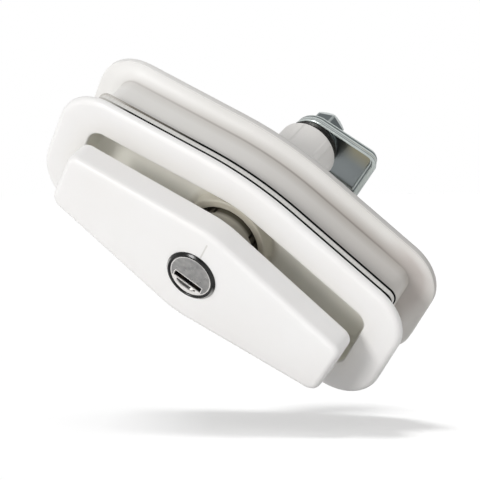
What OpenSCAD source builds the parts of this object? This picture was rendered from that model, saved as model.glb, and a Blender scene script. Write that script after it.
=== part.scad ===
// Flush compression lock: pop-out T handle in a long bezel, with a drawn cam.
// Origin on the spindle axis where the bezel's seals meet the door panel.
// +X along the bezel, -Y towards the user, +Y behind the door, +Z up.
// Inside the source each piece is drawn with its own z pointing out to the user.

/* [Bezel] */
// Half the bezel's length
bezel_half = 62.4; // [50:0.1:80]
// Half height where the straight sides would meet the ends
bezel_end = 21.2; // [15:0.1:30]
// Half height where the straight sides would meet in the middle
bezel_mid = 30.8; // [22:0.1:40]
// Radius of the end corners
bezel_end_r = 15.1; // [4:0.1:20]
// Radius of the bend in the middle of the long sides
bezel_mid_r = 103; // [20:1:200]
// Thickness of the bezel flange
flange_thick = 2.7; // [2:0.1:5]
// Round of the bezel's front edge
bezel_round = 2.0; // [0.5:0.1:2.4]

/* [Seals] */
// Thickness of each black seal
seal_thick = 0.5; // [0.3:0.1:1.5]
// Thickness of the light band between the seals
band_thick = 2.5; // [1:0.1:4]
// How far the black seals stand out past the neck's ends
seal_past_neck = 0.5; // [0.1:0.1:3]
// How far the black seals sit inside the bezel's long sides
seal_inset = 0.45; // [0:0.05:2]
// Radius of the seals' corners
seal_corner_r = 3.5; // [2:0.1:10]
// How far the light band sits inside the black seals
band_inset = 0.3; // [0:0.05:1]

/* [Recess] */
// Gap round the handle when it is pressed home
recess_gap = 0.84; // [0.4:0.01:2]
// Depth of the recess below the bezel's face
recess_depth = 10.0; // [9:0.1:12]
// Wall of the recess
recess_wall = 1.2; // [1:0.1:2]
// Round where the recess walls meet the floor
recess_round = 1.6; // [0.5:0.1:3]
// Round at the mouth of the recess
mouth_round = 0.5; // [0.2:0.1:1.2]
// Radius of the raised boss round the stem
boss_r = 14.2; // [13:0.1:16]
// Depth of the boss face below the bezel's face
boss_drop = 5.0; // [4:0.1:8]
// Bore of the boss
boss_bore_r = 11.45; // [11.4:0.05:12]

/* [Rear collar] */
// Play between the recess's ends and the neck's ends
neck_play = 0.16; // [0.1:0.01:1]
// How far the neck sits inside the bezel's long sides
neck_inset = 4.4; // [3:0.1:8]
// Radius of the neck's corners
neck_corner_r = 5.5; // [3:0.1:12]
// Straight length of the neck
neck_len = 14.2; // [5:0.1:30]
// Depth of the cove that widens the neck to the collar
cove_deep = 3.8; // [2:0.1:8]
// Slope of the cove where it leaves the neck
cove_from = 30; // [0:1:45]
// Slope of the cove where it meets the collar's rim
cove_to = 75; // [60:1:90]
// Thickness of the collar's rim and back plate
collar_thick = 2.2; // [1.5:0.1:4]
// Wall of the neck
neck_wall = 1.6; // [1.2:0.1:2]
// Radius of the step at the foot of the barrel
foot_r = 12.3; // [11:0.1:16]
// Height of the step at the foot of the barrel
foot_len = 2.6; // [0.5:0.1:6]

/* [Barrel] */
// Outer radius of the barrel
barrel_r = 10.1; // [10:0.1:14]
// Distance of the barrel's rim behind the seat
barrel_reach = 52.8; // [48:0.1:80]
// Bore of the barrel
barrel_bore_r = 9.0; // [8.6:0.05:10]
// Width of the raised ribs along the barrel
rib_width = 2.6; // [1:0.1:5]
// Height of the raised ribs along the barrel
rib_proud = 0.35; // [0.1:0.05:1]
// Angle of the ribs from the long axis
rib_angle = 58; // [20:1:80]

/* [Handle] */
// Half the handle's length
handle_half = 50.0; // [40:0.1:60]
// Half height of the handle where its sides would meet the ends
handle_end = 10.75; // [7:0.05:15]
// Half height of the handle where its sides would meet in the middle
handle_mid = 18.7; // [17:0.1:25]
// Radius of the handle's end corners
handle_end_r = 4.0; // [1:0.1:8]
// Radius of the bend in the middle of the handle's sides
handle_mid_r = 28; // [1:1:60]
// Depth of the handle from face to rear rim
handle_depth = 8.7; // [6:0.1:12]
// Round of the handle's front edge
handle_round = 2.0; // [0.5:0.1:3]
// Height of the handle face above the bezel when popped out
pop_out = 14.8; // [12:0.1:16]
// Wall of the handle
handle_wall = 2.0; // [1.5:0.1:2.2]
// Thickness of the handle's face
face_thick = 2.4; // [2:0.1:4]
// How far the handle stands turned from the recess as shown
rest_turn = 1.55; // [0:0.05:3]
// Width of the index line on the handle's face
index_width = 0.5; // [0.3:0.1:1.5]
// Depth of the index line
index_depth = 0.3; // [0.1:0.1:1]

/* [Stem and lock] */
// Radius of the stem
stem_r = 10.4; // [9.5:0.05:10.6]
// Radial clearance of the sliding stem and tube
slide_fit = 0.05; // [0.02:0.01:0.1]
// Radius of the thinner tube behind the stem
tube_r = 7.4; // [7:0.1:8]
// Radius of the lock's face ring
ring_r = 8.4; // [8:0.1:10]
// Height of the face ring above the handle
ring_proud = 1.0; // [0.5:0.1:2]
// Radius of the key plug
plug_r = 6.9; // [5:0.1:7]
// Radial clearance of the plug in its housing
plug_fit = 0.08; // [0.02:0.01:0.1]
// Length of the key slot
slot_len = 9.75; // [8:0.05:11]
// Height of the key slot
slot_high = 2.1; // [1.5:0.1:3]
// Distance of the key slot's middle below the plug's axis
slot_drop = 2.65; // [0:0.05:4]
// Depth of the key slot
slot_deep = 9.0; // [5:0.1:10]
// Angle of the stem's notches from the long axis
notch_angle = 42; // [30:1:60]
// Width of the stem's notches
notch_wide = 4.0; // [2:0.1:6]
// How far each locking bolt moves out
bolt_throw = 1.0; // [0.5:0.1:1.2]
// Width of each locking bolt
bolt_wide = 4.8; // [3:0.1:6]
// Thickness of each locking bolt
bolt_thick = 3.2; // [2:0.1:4]

/* [Spindle and draw sleeve] */
// Width of the spindle's front square
front_square = 7.0; // [6:0.1:7.4]
// Width of the spindle's rear square
rear_square = 6.2; // [5:0.1:7]
// Clearance on each face of the squares
square_fit = 0.1; // [0.05:0.01:0.2]
// Radius of the spindle's journal
journal_r = 4.5; // [4:0.1:5]
// Outer radius of the threaded draw sleeve
sleeve_r = 8.9; // [8:0.05:10]
// How far the sleeve's foot stands out behind the barrel's rim
sleeve_past_rim = 5.8; // [4.5:0.1:12]

/* [Cam] */
// Radius of the cam's rounded end
cam_r = 8.6; // [8:0.1:12]
// Upper edge of the cam's arm above the axis
cam_top = 9.4; // [8:0.1:14]
// Reach of the cam's arm from the spindle axis
cam_reach = 21.8; // [18:0.1:60]
// Thickness of the cam plate
cam_thick = 2.0; // [1.5:0.1:4]
// Height of the bent border along the arm
cam_border = 1.6; // [0.5:0.1:3]
// Lowest edge of the cam's arm below the axis
cam_low = 9.6; // [9:0.1:20]
// Radius of the arm's outer upper corner
cam_corner = 3.4; // [1:0.1:6]
// Width of the square that keys the cam
cam_square = 9.0; // [8:0.1:11]
// Across flats of the cam nut
nut_flats = 10.0; // [10:0.5:17]
// Radius of the flat washer behind the cam
washer_r = 6.4; // [5:0.1:9]
// Thickness of the cam nut
nut_thick = 5.6; // [4:0.1:8]
// Radius of the cam stud
stud_r = 3.0; // [3:0.5:6]
// Length of the cam stud behind the cam
stud_len = 10.3; // [9:0.1:20]

/* [Hidden] */
$fn = 96;
bezel = [bezel_half, bezel_end, bezel_mid, bezel_end_r, bezel_mid_r];
handle = [handle_half, handle_end, handle_mid, handle_end_r, handle_mid_r];
gap = 0.1;                                   // loose fit between set-in parts
over = 1;                                    // run-out of cuts past a face
ease = 0.4;                                  // small setback of set-in parts
neck_half = handle_half + recess_gap + recess_wall + neck_play + neck_wall;
seal_half = neck_half + seal_past_neck;
neck = shorter(grow(bezel, -neck_inset), neck_half, neck_corner_r);
seal_outline = shorter(grow(bezel, -seal_inset), seal_half, seal_corner_r);
stack = 2 * seal_thick + band_thick;
front = stack + flange_thick;                // bezel face
floor_z = front - recess_depth;
tub_back = floor_z - recess_wall;
boss_face = front - boss_drop;
cove_end = -neck_len - cove_deep;             // front of the collar's rim
cove_steps = 6;
plate_z = cove_end + 0.1;                    // inner face of the back plate
back_z = cove_end - collar_thick;            // rear face of the back plate
foot_z = back_z - foot_len;
rim_z = -barrel_reach;
rib_start = rim_z + 1.5;                     // ribs stop short of the barrel's rim
face_z = front + pop_out;                    // handle face
tail_z = face_z - handle_depth;              // handle rear rim
under_z = face_z - face_thick;               // inside of the handle's face
inner_rib_x = 32;
inner_rib_thick = 1.6;
inner_rib_deep = 2.6;
inner_rib_inset = 6;
inner_rib_half = handle_mid - inner_rib_inset;
index_inset = 4.2;
index_end = handle_mid - index_inset;
bush_r = 13.0;
bush_top = boss_face - 2.2;
bush_end = plate_z + 2;                      // bush stands on the barrel flange
ledge_end = -5.6;                            // underside of the catch ledge
catch_r = 11.6;
seal_r = stem_r + 0.32;
stem_seal_thick = 0.8;
flange_r = 15.0;
guide_len = 4.3;
guide_z = plate_z + 1;                       // floor of the stem's pocket
guide_end = guide_z - guide_len;
stem_end = -2.0;
tube_end = guide_end - 2.4;
stem_flange_r = 14.0;
stem_flange = 2.4;
flange_back = under_z - stem_flange;
housing_r = 8.2;
housing_end = 10.0;
bolt_top = 9.0;
bolt_low = bolt_top - bolt_thick;
bolt_slope = 0.8;
chamber_r = 4.6;
bolt_in = 3.6;                               // inner end of a drawn-in bolt
bolt_out = stem_r - 0.2;                     // outer end of a drawn-in bolt
tail_r = 3.2;
tail_neck_r = 2.4;
plug_neck_r = 2.6;
ring_foot = 0.25;                            // upright part of the face ring's side
ring_bevel = 0.8;
plug_sunk = 0.5;
plug_face = face_z + ring_proud - plug_sunk;
plug_end = 9.6;
clip_half = 0.3;
clip_r = 7.9;
pocket_deep = 1.2;
pocket_half = 3.4;
pocket_low = -5.6;
pocket_high = -slot_drop - slot_high / 2 - 0.3;
wafer_pitch = 2;
wafer_thick = 0.7;
wafer_half = 3.0;
wafer_high = 5.2;
wafer_gate = 4.0;                            // width of the key's window in a wafer
clip_mouth = 3.0;                            // opening of the retaining rings
clip_play = 0.5;
lug_drop = 0.2;
socket_end = -1.9;                           // blind end of the stem's square
spindle_hold = 6.4;                          // how far the spindle stands in the stem at rest
spindle_top = tube_end + spindle_hold;
seat_deep = 10.9;
seat_z = rim_z + seat_deep;                  // front of the spring seat
seat_thick = 1.2;
seat_fit = 0.02;
seat_back = seat_z - seat_thick;
ring_thick = 0.8;                            // retaining rings
ring_groove = 0.6;
spin_flange_r = 6.0;
spin_flange = 1.2;
spindle_end = rim_z - 0.6;
spring_out = barrel_bore_r - 0.6;
spring_in = tube_r + 0.35;
spring_top = guide_end - 1.6;
sleeve_hold = 8.2;                           // how far the sleeve stands in the barrel
sleeve_top = rim_z + sleeve_hold;
sleeve_step = cam_border + gap;              // narrow foot inside the cam's border
sleeve_step_r = cam_r - 1.2;
socket_wall = 2.2;
sleeve_z = rim_z - sleeve_past_rim;          // foot of the sleeve, inner face of the cam
sleeve_floor = sleeve_z + socket_wall;
cam_back = sleeve_z - cam_thick;
cam_edge = 0.6;                              // straight part of the cam's border
washer_thick = 1.1;
lock_thick = 1.0;
lock_r = 5.4;
lock_slot = 0.8;
washer_back = cam_back - washer_thick;
lock_back = washer_back - lock_thick;
nut_back = lock_back - nut_thick;
screw_x = 37;
screw_y = 8.5;
pillar_r = 3.6;
insert_r = 2.4;
screw_r = 1.5;
screw_bite = 3;
head_r = 3.0;
head_thick = 1.8;
drive_r = 1.5;
drive_deep = 1.0;
stem_screw_ring = 12.2;                      // circle of the stem's screws
stem_screw_r = 1.1;
stem_head_r = 1.7;
stem_screw_bite = 1.4;
notch_z = 2.3;                               // upper edge of the stem's notches
notch_high = 3.2;
notch_deep = 1.2;

// Turns a drawing whose z points out to the user into the part's frame.
module out() {
  rotate([90, 0, 0])
    children();
}

// The same, with the handle's small turn as shown.
module out_turned() {
  rotate([90, 0, 0])
    rotate([0, 0, -rest_turn])
      children();
}

function unit(v) = v / norm(v);

// A six-sided outline moved out by d all round.
function grow(o, d) =
  let (slope = (o[2] - o[1]) / o[0])
  let (mid = o[2] + d * sqrt(1 + slope * slope))
  [o[0] + d, mid - (o[0] + d) * slope, mid, max(0.2, o[3] + d), max(0.2, o[4] + d)];

// An outline cut shorter along its own sloping sides.
function shorter(o, half, corner) =
  [half, o[2] - half * (o[2] - o[1]) / o[0], o[2], corner, o[4]];

// An outline part of the way from a to b.
function mix(a, b, t) = [for (i = [0:4]) a[i] + (b[i] - a[i]) * t];

// Points of the arc that rounds corner b between a and c.
function round_corner(a, b, c, r, steps) =
  let (u = unit(a - b))
  let (v = unit(c - b))
  let (half = acos(u * v) / 2)
  let (centre = b + unit(u + v) * r / sin(half))
  let (first = b + u * r / tan(half) - centre)
  let (last = b + v * r / tan(half) - centre)
  let (from = atan2(first[1], first[0]))
  let (turn = atan2(last[1], last[0]) - from)
  let (sweep = turn < 0 ? turn + 360 : turn)
  [for (i = [0:steps]) centre + r * [cos(from + sweep * i / steps), sin(from + sweep * i / steps)]];

function outline(o, steps = 8) =
  let (p = [[o[0], -o[1]], [o[0], o[1]], [0, o[2]], [-o[0], o[1]], [-o[0], -o[1]], [0, -o[2]]])
  [for (k = [0:5])
    each round_corner(p[(k + 5) % 6], p[k], p[(k + 1) % 6], (k % 3 == 2) ? o[4] : o[3], steps)];

// A straight slab of the outline from low to high.
module slab(o, low, high) {
  translate([0, 0, low])
    linear_extrude(high - low)
      polygon(outline(o));
}

// A slab whose upper edge is rounded by r.
module round_slab(o, low, high, r) {
  hull() {
    slab(o, low, high - r);
    slab(grow(o, -0.05 * r), high - r, high - 0.69 * r);
    slab(grow(o, -0.19 * r), high - 0.69 * r, high - 0.41 * r);
    slab(grow(o, -0.41 * r), high - 0.41 * r, high - 0.19 * r);
    slab(grow(o, -0.69 * r), high - 0.19 * r, high - 0.05 * r);
    slab(grow(o, -r), high - 0.05 * r, high);
  }
}

module disc(r, low, high) {
  translate([0, 0, low])
    cylinder(r = r, h = high - low);
}

module ring(inner, outer, low, high) {
  difference() {
    disc(outer, low, high);
    disc(inner, low - over, high + over);
  }
}

module bar(wide, low, high) {
  translate([-wide / 2, -wide / 2, low])
    cube([wide, wide, high - low]);
}

module at_screws() {
  for (sx = [-1, 1])
    for (sy = [-1, 1])
      translate([sx * screw_x, sy * screw_y, 0])
        children();
}

// Four equal places round the stem's flange.
module at_stem_screws() {
  for (k = [0:3])
    rotate([0, 0, 45 + 90 * k])
      translate([stem_screw_ring, 0, 0])
        children();
}

// Bezel flange, recess tub, raised boss and four rear pillars, in one moulding.
module front_bezel() {
  color("whitesmoke")
    out()
      difference() {
        union() {
          difference() {
            union() {
              round_slab(bezel, stack, front, bezel_round);
              slab(grow(handle, recess_gap + recess_wall), tub_back, stack + over);
            }
            hull() {
              slab(grow(handle, recess_gap), floor_z + recess_round, front + over);
              slab(grow(handle, recess_gap - 0.3 * recess_round),
                   floor_z + 0.3 * recess_round, floor_z + recess_round);
              slab(grow(handle, recess_gap - recess_round), floor_z, floor_z + recess_round);
            }
            hull() {
              slab(grow(handle, recess_gap), front - mouth_round, front);
              slab(grow(handle, recess_gap + mouth_round), front, front + mouth_round);
            }
          }
          disc(boss_r, tub_back, boss_face);
          at_screws()
            disc(pillar_r, plate_z, tub_back + over);
        }
        disc(boss_bore_r, tub_back - over, boss_face + over);
        disc(bush_r, tub_back - over, bush_top);
        at_screws()
          disc(insert_r, plate_z - over, tub_back);
      }
}

module gasket(edge, low, high) {
  difference() {
    slab(edge, low, high);
    slab(grow(neck, -neck_wall), low - over, high + over);
  }
}

// Black seal under the bezel flange.
module face_seal() {
  color("black")
    out()
      gasket(seal_outline, stack - seal_thick, stack);
}

// Light band between the two seals.
module spacer_band() {
  color("gainsboro")
    out()
      gasket(grow(seal_outline, -band_inset), seal_thick, stack - seal_thick);
}

// Black seal that meets the door panel.
module panel_seal() {
  color("black")
    out()
      gasket(seal_outline, 0, seal_thick);
}

// Neck, cove, collar rim and back plate, with the step at the barrel's foot.
module rear_collar() {
  color("gainsboro")
    out()
      difference() {
        union() {
          slab(neck, cove_end, 0);
          for (i = [0:cove_steps - 1])
            hull() {
              cove_slice(i);
              cove_slice(i + 1);
            }
          round_back();
          disc(foot_r, foot_z, back_z + over);
        }
        slab(grow(neck, -neck_wall), plate_z, over);
        disc(barrel_r + gap, foot_z - over, plate_z + over);
        at_screws()
          disc(screw_r + gap, back_z - over, plate_z + over);
      }
}

// One thin level of the cove, a step further round on each.
module cove_slice(i) {
  slope = cove_from + (cove_to - cove_from) * i / cove_steps;
  down = (sin(slope) - sin(cove_from)) / (sin(cove_to) - sin(cove_from));
  wide = (cos(cove_from) - cos(slope)) / (cos(cove_from) - cos(cove_to));
  level = -neck_len - cove_deep * down;
  slab(mix(neck, bezel, wide), level - 0.02, level);
}

// The collar's rim with its rear edge slightly rounded.
module round_back() {
  hull() {
    slab(bezel, back_z + 0.5, cove_end);
    slab(grow(bezel, -0.5), back_z, cove_end);
  }
}

// Rubber ring in the boss, just clear of the stem.
module stem_seal() {
  color("black")
    out()
      ring(seal_r, boss_bore_r, bush_top, bush_top + stem_seal_thick);
}

// Bush that guides the stem; the bolts catch under its ledge.
module guide_bush() {
  color("silver")
    out()
      difference() {
        disc(bush_r, bush_end, bush_top);
        disc(stem_r + slide_fit, ledge_end - over, bush_top + over);
        disc(catch_r, bush_end - over, ledge_end);
      }
}

// Barrel with its inner flange, stem pocket, tube guide and long bore.
module barrel() {
  color("lightgray")
    out()
      difference() {
        union() {
          disc(flange_r, plate_z, bush_end);
          disc(barrel_r, rim_z, plate_z);
          for (side = [-1, 1])
            for (turn = [rib_angle, 180 - rib_angle])
              rotate([0, 0, side * turn])
                translate([0, -rib_width / 2, rib_start])
                  cube([barrel_r + rib_proud, rib_width, foot_z - gap - rib_start]);
        }
        disc(stem_r + 0.2, guide_z, bush_end + over);
        disc(tube_r + slide_fit, guide_end - over, guide_z + over);
        disc(barrel_bore_r, rim_z - over, guide_end);
      }
}

// Four screws from the back plate into the bezel's pillars.
module collar_screws() {
  color("silver")
    out()
      at_screws() {
        difference() {
          disc(head_r, back_z - head_thick, back_z);
          translate([0, 0, back_z - head_thick - over])
            cylinder(r = drive_r, h = drive_deep + over, $fn = 6);
        }
        disc(screw_r, back_z - gap, tub_back - screw_bite);
      }
}

// Brass inserts in the bezel's pillars.
module screw_inserts() {
  color("goldenrod")
    out()
      at_screws()
        ring(screw_r, insert_r, plate_z + ease, tub_back - ease);
}

// Washer staked in the barrel: carries the spring and the spindle.
module spring_seat() {
  color("silver")
    out()
      ring(journal_r + slide_fit, barrel_bore_r - seat_fit, seat_back, seat_z);
}

// Space of the pop-out spring, drawn as a plain sleeve.
module pop_out_spring() {
  color("silver")
    out()
      ring(spring_in, spring_out, seat_z, spring_top);
}

// Square-ended spindle that turns the cam and lets the handle slide.
module spindle() {
  color("silver")
    out_turned()
      difference() {
        union() {
          bar(front_square, seat_z, spindle_top);
          disc(spin_flange_r, seat_z, seat_z + spin_flange);
          disc(journal_r, seat_back - ring_thick - ring_groove, seat_z);
          bar(rear_square, spindle_end, seat_back - over);
        }
        ring(journal_r - ring_groove, journal_r + over, seat_back - gap - ring_thick, seat_back - gap);
      }
}

// Retaining ring behind the spring seat, open on one side.
module spindle_clip() {
  color("dimgray")
    out_turned()
      difference() {
        ring(journal_r - ring_groove, journal_r + 2 * ring_groove,
             seat_back - gap - ring_thick, seat_back - gap);
        translate([0, -clip_mouth / 2, seat_back - 3 * ring_thick])
          cube([2 * journal_r, clip_mouth, 3 * ring_thick]);
      }
}

// Hollow T handle, open behind, with ribs and an index line on its face.
module handle_shell() {
  color("whitesmoke")
    out_turned()
      difference() {
        union() {
          difference() {
            round_slab(handle, tail_z, face_z, handle_round);
            slab(grow(handle, -handle_wall), tail_z - over, under_z);
          }
          for (side = [-1, 1])
            translate([side * inner_rib_x - inner_rib_thick / 2, -inner_rib_half, under_z - inner_rib_deep])
              cube([inner_rib_thick, 2 * inner_rib_half, inner_rib_deep + ease]);
        }
        disc(housing_r + gap, under_z - over, face_z + over);
        at_stem_screws()
          disc(stem_screw_r, under_z - over, under_z + stem_screw_bite + gap);
        translate([-index_width / 2, ring_r + gap, face_z - index_depth])
          cube([index_width, index_end - ring_r, over]);
      }
}

// Stem with its flange, lock pocket, bolt windows, thin tube and square socket.
module handle_stem() {
  color("silver")
    out_turned()
      difference() {
        union() {
          disc(stem_flange_r, flange_back, under_z);
          disc(stem_r, stem_end, flange_back);
          disc(tube_r, tube_end, stem_end);
        }
        disc(housing_r + gap, bolt_top + gap, under_z + over);
        disc(chamber_r, bolt_low - gap, bolt_top + over);
        translate([-stem_r - over, -bolt_wide / 2 - gap, bolt_low - gap])
          cube([2 * (stem_r + over), bolt_wide + 2 * gap, bolt_thick + 2 * gap]);
        for (turn = [notch_angle, 180 - notch_angle, 180 + notch_angle, -notch_angle])
          rotate([0, 0, turn])
            stem_notch();
        bar(front_square + 2 * square_fit, tube_end - over, socket_end);
        ring(tube_r - ring_groove, tube_r + over, tube_end + ring_thick, tube_end + 2.5 * ring_thick);
        at_stem_screws()
          disc(stem_screw_r + gap, flange_back - over, under_z + over);
      }
}

// A shallow notch in the stem's side with a narrow lug standing in it.
module stem_notch() {
  difference() {
    translate([stem_r - notch_deep, -notch_wide / 2, notch_z - notch_high])
      cube([notch_deep + over, notch_wide, notch_high]);
    translate([stem_r - notch_deep - over, -0.2 * notch_wide, notch_z - notch_high])
      cube([notch_deep + over - lug_drop, 0.4 * notch_wide, 0.75 * notch_high]);
  }
}

// Four small screws that hold the stem's flange to the handle.
module stem_screws() {
  color("silver")
    out_turned()
      at_stem_screws() {
        disc(stem_head_r, flange_back - over, flange_back);
        disc(stem_screw_r, flange_back - gap, under_z + stem_screw_bite);
      }
}

// Retaining ring that stops the tube in the barrel's guide.
module stem_clip() {
  color("dimgray")
    out_turned()
      difference() {
        ring(tube_r - ring_groove + seat_fit, barrel_bore_r - clip_play,
             tube_end + ring_thick, tube_end + 2.5 * ring_thick);
        translate([0, -clip_mouth / 2, tube_end])
          cube([barrel_bore_r, clip_mouth, 4 * ring_thick]);
      }
}

// Polished black ring round the plug, with a wide outer bevel.
module lock_ring() {
  color("black")
    out_turned()
      difference() {
        union() {
          disc(ring_r, face_z, face_z + ring_foot);
          translate([0, 0, face_z + ring_foot])
            cylinder(r1 = ring_r, r2 = ring_r - ring_bevel, h = ring_proud - ring_foot);
        }
        disc(plug_r + plug_fit, face_z - over, face_z + ring_proud + over);
      }
}

module lock_housing() {
  color("dimgray")
    out_turned()
      ring(plug_r + plug_fit, housing_r, housing_end, face_z);
}

// Key plug with its slot, the shaped pocket under it and the wafer slots.
module lock_plug() {
  color("gray")
    out_turned()
      difference() {
        union() {
          disc(plug_r, plug_end + clip_half + gap, plug_face);
          disc(plug_neck_r, plug_end - clip_half, plug_end + clip_half + over);
        }
        translate([-slot_len / 2, -slot_drop - slot_high / 2, plug_face - slot_deep])
          cube([slot_len, slot_high, slot_deep + over]);
        intersection() {
          disc(plug_r - 1.1, plug_face - pocket_deep, plug_face + over);
          translate([-pocket_half, pocket_low, plug_face - pocket_deep])
            cube([2 * pocket_half, pocket_high - pocket_low, pocket_deep + over]);
        }
        for (k = [1:3])
          translate([-wafer_half - gap, -wafer_high - gap, plug_face - wafer_pitch * k - gap - wafer_thick])
            cube([2 * (wafer_half + gap), 2 * (wafer_high + gap), wafer_thick + 2 * gap]);
      }
}

// Three thin wafers across the plug, each with a window for the key.
module key_wafers() {
  color("goldenrod")
    out_turned()
      for (k = [1:3])
        difference() {
          translate([-wafer_half, -wafer_high + 0.25 * (k % 2), plug_face - wafer_pitch * k - wafer_thick])
            cube([2 * wafer_half, 2 * wafer_high - 0.4, wafer_thick]);
          translate([-wafer_gate / 2, -slot_drop - slot_high / 2 - 2 * gap,
                     plug_face - wafer_pitch * k - 2 * wafer_thick])
            cube([wafer_gate, slot_high + 4 * gap, 3 * wafer_thick]);
        }
}

// Plate that keeps the plug in its housing.
module plug_clip() {
  color("silver")
    out_turned()
      ring(plug_neck_r, clip_r, plug_end - clip_half, plug_end + clip_half);
}

// Long driver on the plug's rear that spreads the two bolts.
module lock_tail() {
  color("silver")
    out_turned() {
      disc(tail_neck_r, bolt_top, plug_end - clip_half);
      for (side = [-1, 1])
        translate([0, side * bolt_throw, 0])
          disc(tail_r, bolt_low, bolt_top);
      translate([-tail_r, -bolt_throw, bolt_low])
        cube([2 * tail_r, 2 * bolt_throw, bolt_thick]);
    }
}

// A bolt that slides out of the stem, with a sloping outer end.
module bolt() {
  rotate([90, 0, 0])
    linear_extrude(bolt_wide, center = true)
      polygon([
        [bolt_in, bolt_low],
        [bolt_out - bolt_slope, bolt_low],
        [bolt_out, bolt_low + bolt_slope],
        [bolt_out, bolt_top],
        [bolt_in, bolt_top]
      ]);
}

module bolt_right() {
  color("silver")
    out_turned()
      bolt();
}

module bolt_left() {
  color("silver")
    out_turned()
      rotate([0, 0, 180])
        bolt();
}

// Sleeve that screws in and out of the barrel and ends in the cam stud.
module draw_sleeve() {
  color("dimgray")
    out_turned()
      difference() {
        union() {
          disc(sleeve_r, sleeve_z + sleeve_step, sleeve_top);
          disc(sleeve_step_r, sleeve_z, sleeve_z + sleeve_step);
          bar(cam_square, cam_back + gap, sleeve_z);
          disc(stud_r, cam_back - stud_len, cam_back + gap);
        }
        bar(rear_square + 2 * square_fit, sleeve_floor, sleeve_top + over);
      }
}

// Outline of the cam: round end on the axis, arm with a rounded outer corner.
// in_round, in_reach and in_low draw it in; slant draws the foot of the end edge in.
module cam_outline(in_round, in_reach, in_low, corner, slant) {
  r = cam_r - in_round;
  top = cam_top - in_round;
  reach = cam_reach - in_reach;
  low = cam_low - in_low;
  circle(r = r);
  polygon([
    [0, r],
    [0.35 * r, top],
    [reach - corner, top],
    [reach - 0.3 * corner, top - 0.3 * corner],
    [reach, top - corner],
    [reach - slant, -low],
    [0.62 * r, -low],
    [-0.25 * r, -0.968 * r]
  ]);
}

// Pressed cam plate with a border bent forward round the arm.
module cam_plate() {
  lip = sleeve_z + cam_border;
  color("lightsteelblue")
    out_turned()
      difference() {
        hull() {
          translate([0, 0, cam_back])
            linear_extrude(0.2)
              cam_outline(0.3, 1.4, 1.3, cam_corner, 0.4);
          translate([0, 0, lip - cam_edge])
            linear_extrude(cam_edge)
              cam_outline(0, 0, 0, cam_corner + 0.4, 0.6);
        }
        hull() {
          translate([0, 0, sleeve_z])
            linear_extrude(0.1)
              cam_outline(0.9, 3.2, 2.4, cam_corner, 1.6);
          translate([0, 0, lip])
            linear_extrude(0.4)
              cam_outline(0.6, 0.9, 0.8, cam_corner, 0.8);
        }
        bar(cam_square + 2 * square_fit, cam_back - over, sleeve_z + over);
      }
}

module cam_washer() {
  color("silver")
    out_turned()
      ring(stud_r + gap, washer_r, washer_back, cam_back);
}

// Split spring washer under the nut.
module lock_washer() {
  color("silver")
    out_turned()
      difference() {
        ring(stud_r + gap, lock_r, lock_back, washer_back);
        rotate([0, 0, 60])
          translate([stud_r / 2, -lock_slot / 2, lock_back - over])
            cube([lock_r, lock_slot, lock_thick + 2 * over]);
      }
}

module cam_nut() {
  color("silver")
    out_turned()
      difference() {
        translate([0, 0, nut_back])
          cylinder(r = nut_flats / 2 / cos(30), h = nut_thick, $fn = 6);
        disc(stud_r, nut_back - over, lock_back + over);
      }
}

front_bezel();
face_seal();
spacer_band();
panel_seal();
rear_collar();
stem_seal();
guide_bush();
barrel();
collar_screws();
screw_inserts();
spring_seat();
pop_out_spring();
spindle();
spindle_clip();
handle_shell();
handle_stem();
stem_screws();
stem_clip();
lock_ring();
lock_housing();
lock_plug();
key_wafers();
plug_clip();
lock_tail();
bolt_right();
bolt_left();
draw_sleeve();
cam_plate();
cam_washer();
lock_washer();
cam_nut();
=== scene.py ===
import math
from functools import reduce

import bpy
import numpy as np
from mathutils import Matrix, Vector


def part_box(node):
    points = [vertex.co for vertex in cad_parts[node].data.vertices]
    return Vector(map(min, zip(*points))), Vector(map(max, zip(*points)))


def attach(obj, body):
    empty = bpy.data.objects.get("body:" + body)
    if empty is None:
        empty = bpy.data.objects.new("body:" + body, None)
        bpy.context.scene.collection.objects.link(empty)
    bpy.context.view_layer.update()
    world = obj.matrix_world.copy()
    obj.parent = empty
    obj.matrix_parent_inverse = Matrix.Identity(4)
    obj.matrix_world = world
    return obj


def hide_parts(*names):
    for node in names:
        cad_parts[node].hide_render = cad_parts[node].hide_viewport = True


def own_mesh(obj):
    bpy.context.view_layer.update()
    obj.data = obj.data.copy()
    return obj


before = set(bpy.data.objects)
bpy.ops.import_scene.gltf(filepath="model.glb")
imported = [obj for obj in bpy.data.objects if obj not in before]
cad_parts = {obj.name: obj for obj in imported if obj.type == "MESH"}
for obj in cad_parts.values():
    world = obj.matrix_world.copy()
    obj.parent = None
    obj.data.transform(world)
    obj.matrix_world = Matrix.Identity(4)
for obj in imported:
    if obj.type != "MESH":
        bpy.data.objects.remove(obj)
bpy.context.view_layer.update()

MM = 0.001

# Real sizes in millimetres, the same as in the part's source.
# An outline is half length, end half height, middle half height, end radius, middle radius.
BEZEL = (62.4, 21.2, 30.8, 15.1, 103.0)
HANDLE = (50.0, 10.75, 18.7, 4.0, 28.0)
SEAL, BAND, FLANGE = 0.5, 2.5, 2.7
STACK = 2 * SEAL + BAND
FRONT = STACK + FLANGE
EDGE_ROUND = 2.0
GAP, TUB_WALL, FLOOR_ROUND, MOUTH_ROUND = 0.84, 1.2, 1.6, 0.5
FLOOR = FRONT - 10.0
TUB_BACK = FLOOR - TUB_WALL
BOSS_R, BOSS_FACE, BOSS_BORE = 14.2, FRONT - 5.0, 11.55
SEAL_HALF, SEAL_INSET, SEAL_CORNER, BAND_INSET = 54.3, 0.45, 3.5, 0.3
NECK_HALF, NECK_INSET, NECK_CORNER, NECK_WALL, NECK_LEN = 53.8, 4.4, 5.5, 1.6, 14.2
COVE_DEEP, COVE_FROM, COVE_TO, RIM = 3.8, 30, 75, 2.2
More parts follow.
